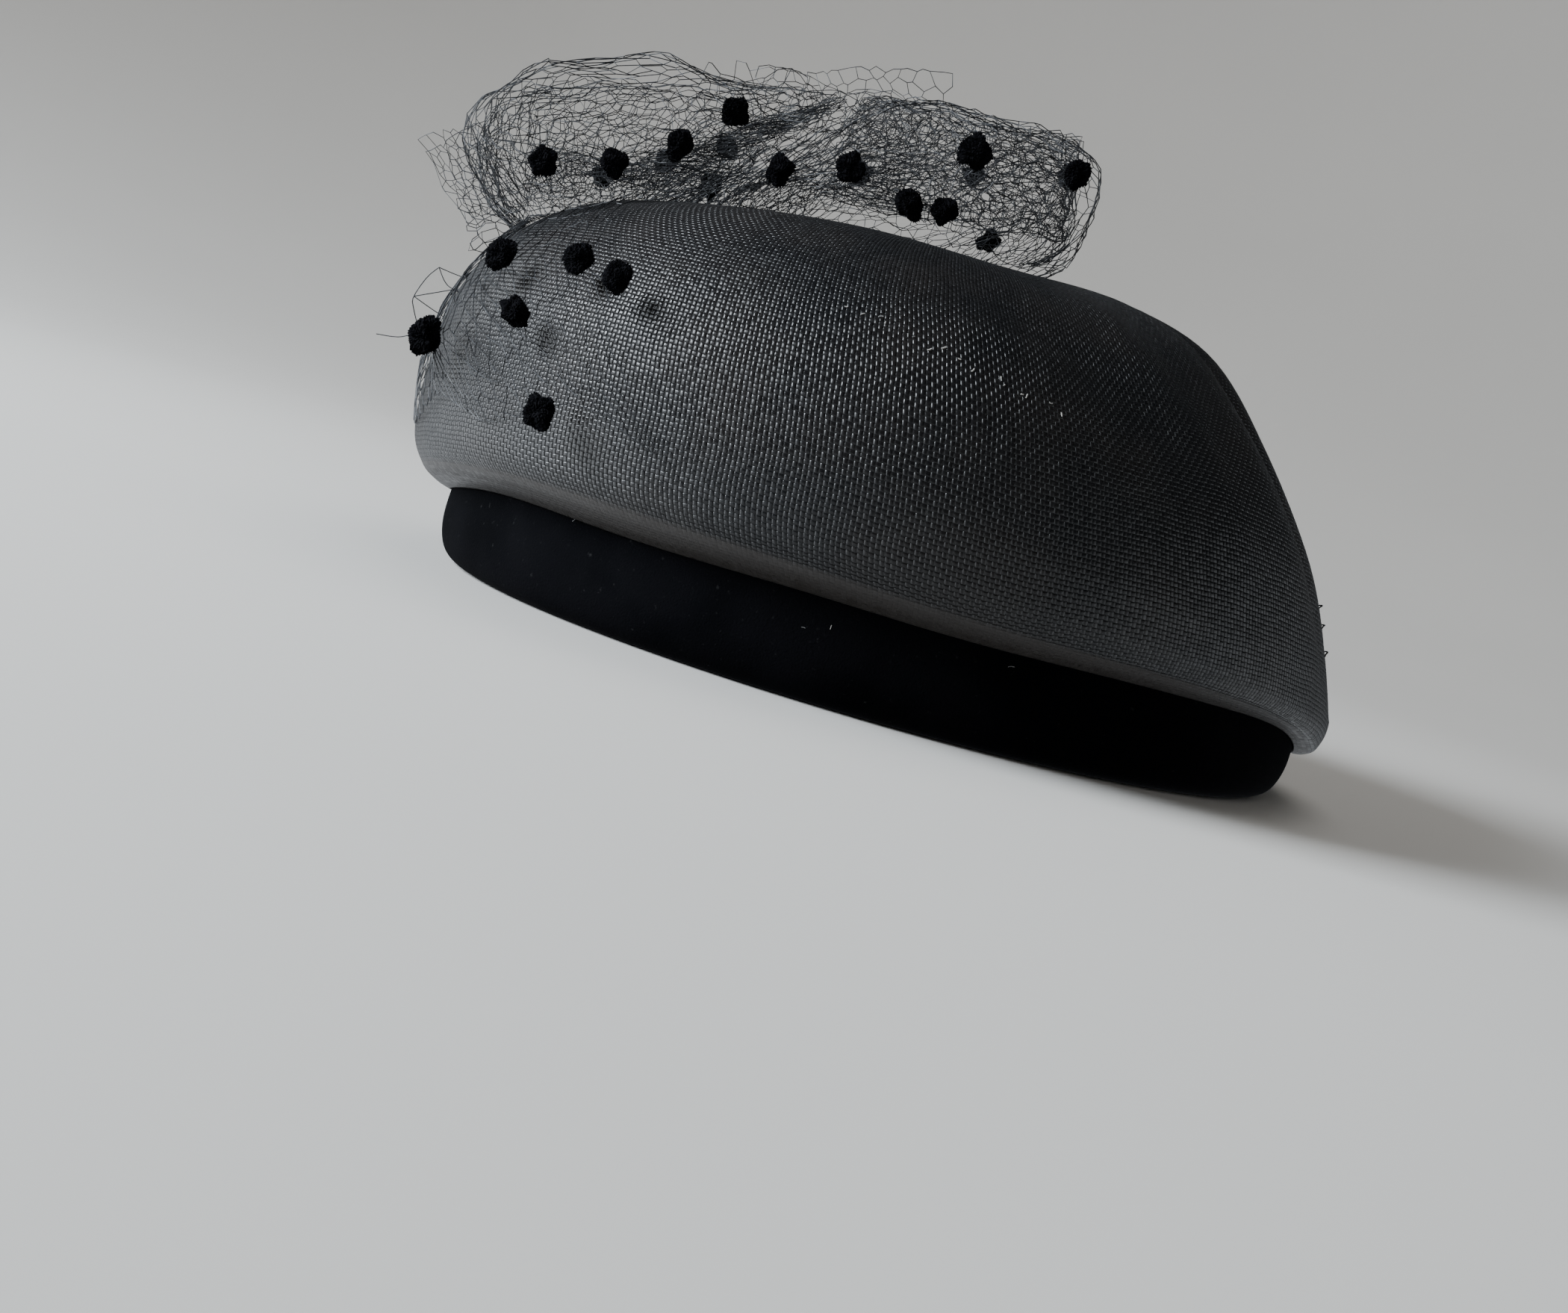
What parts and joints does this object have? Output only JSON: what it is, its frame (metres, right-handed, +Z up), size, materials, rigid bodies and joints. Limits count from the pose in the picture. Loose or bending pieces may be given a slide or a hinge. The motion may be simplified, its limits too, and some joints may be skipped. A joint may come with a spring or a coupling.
{
  "type": "raffia hat",
  "caption": "Soft puffed hat of woven raffia, its lower edge turned under onto a velvet band, with a spotted net veil that stands in puffs on top and falls over the front.",
  "frame": {"origin": "on the ground under the middle of the whole hat, veil included", "axes": "+Z up, the hat's front faces -Y and the wearer's left is +X"},
  "size_m": [0.1916, 0.2122, 0.1221],
  "materials": {
    "raffia": "glossy black woven straw",
    "velvet": "matt black pile",
    "veil_net": "fine black net",
    "chenille": "matt black fuzz"
  },
  "bodies": {
    "root": {"crown": "raffia", "band": "velvet", "front_puff_top": "veil_net", "front_puff_right_front": "veil_net", "front_puff_left_front": "veil_net", "front_puff_left_back": "veil_net", "front_puff_right_back": "veil_net", "back_puff_top": "veil_net", "back_puff_right_front": "veil_net", "back_puff_left_front": "veil_net", "back_puff_left_back": "veil_net", "back_puff_right_back": "veil_net", "veil_fall": "veil_net", "dot_01": "chenille", "dot_02": "chenille", "dot_03": "chenille", "dot_04": "chenille", "dot_05": "chenille", "dot_06": "chenille", "dot_07": "chenille", "dot_08": "chenille", "dot_09": "chenille", "dot_10": "chenille", "dot_11": "chenille", "dot_12": "chenille", "dot_13": "chenille", "dot_14": "chenille", "dot_15": "chenille", "dot_16": "chenille", "dot_17": "chenille", "dot_18": "chenille", "dot_19": "chenille", "dot_20": "chenille", "dot_21": "chenille", "dot_22": "chenille", "dot_23": "chenille", "dot_24": "chenille", "dot_25": "chenille", "dot_26": "chenille", "dot_27": "chenille", "dot_28": "chenille"}
  },
  "joints": []
}
